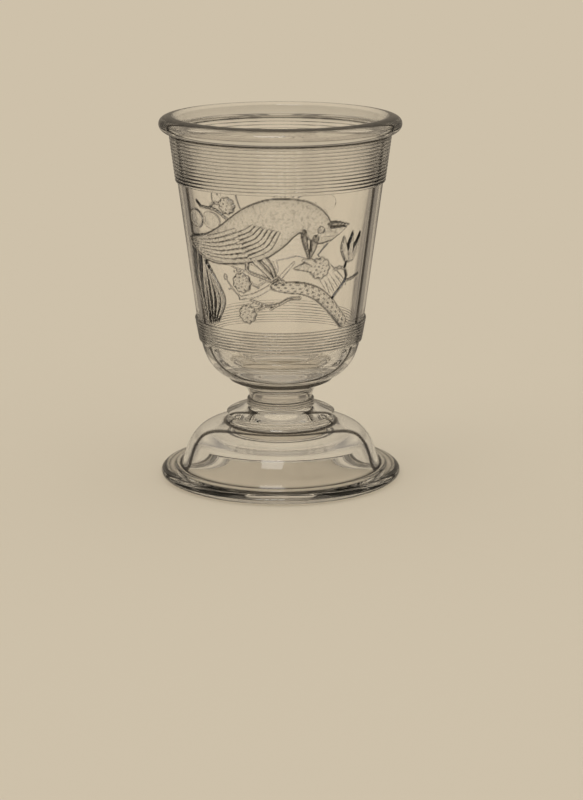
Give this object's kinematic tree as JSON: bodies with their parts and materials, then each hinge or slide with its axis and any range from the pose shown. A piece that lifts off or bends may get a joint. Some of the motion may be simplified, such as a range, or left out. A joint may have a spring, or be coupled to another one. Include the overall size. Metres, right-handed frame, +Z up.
{
  "type": "spoon holder",
  "caption": "Footed pressed-glass spoon holder: tapered cup with rolled rim, reeded bands and bird relief, on a ringed stem and domed foot",
  "frame": {"origin": "on the table under the middle of the foot", "axes": "+Z up through the mouth; -Y is the front, towards the bird that bows its head; +X is to the right seen from the front"},
  "size_m": [0.0932, 0.0932, 0.14],
  "materials": {
    "bowl_glass": "clear pressed glass, fire-polished, with frosted relief",
    "stem_glass": "clear glass, thick and so darker",
    "foot_glass": "clear pressed glass, fire-polished"
  },
  "bodies": {
    "root": {"bowl": "bowl_glass", "stem": "stem_glass", "foot": "foot_glass"}
  },
  "joints": []
}
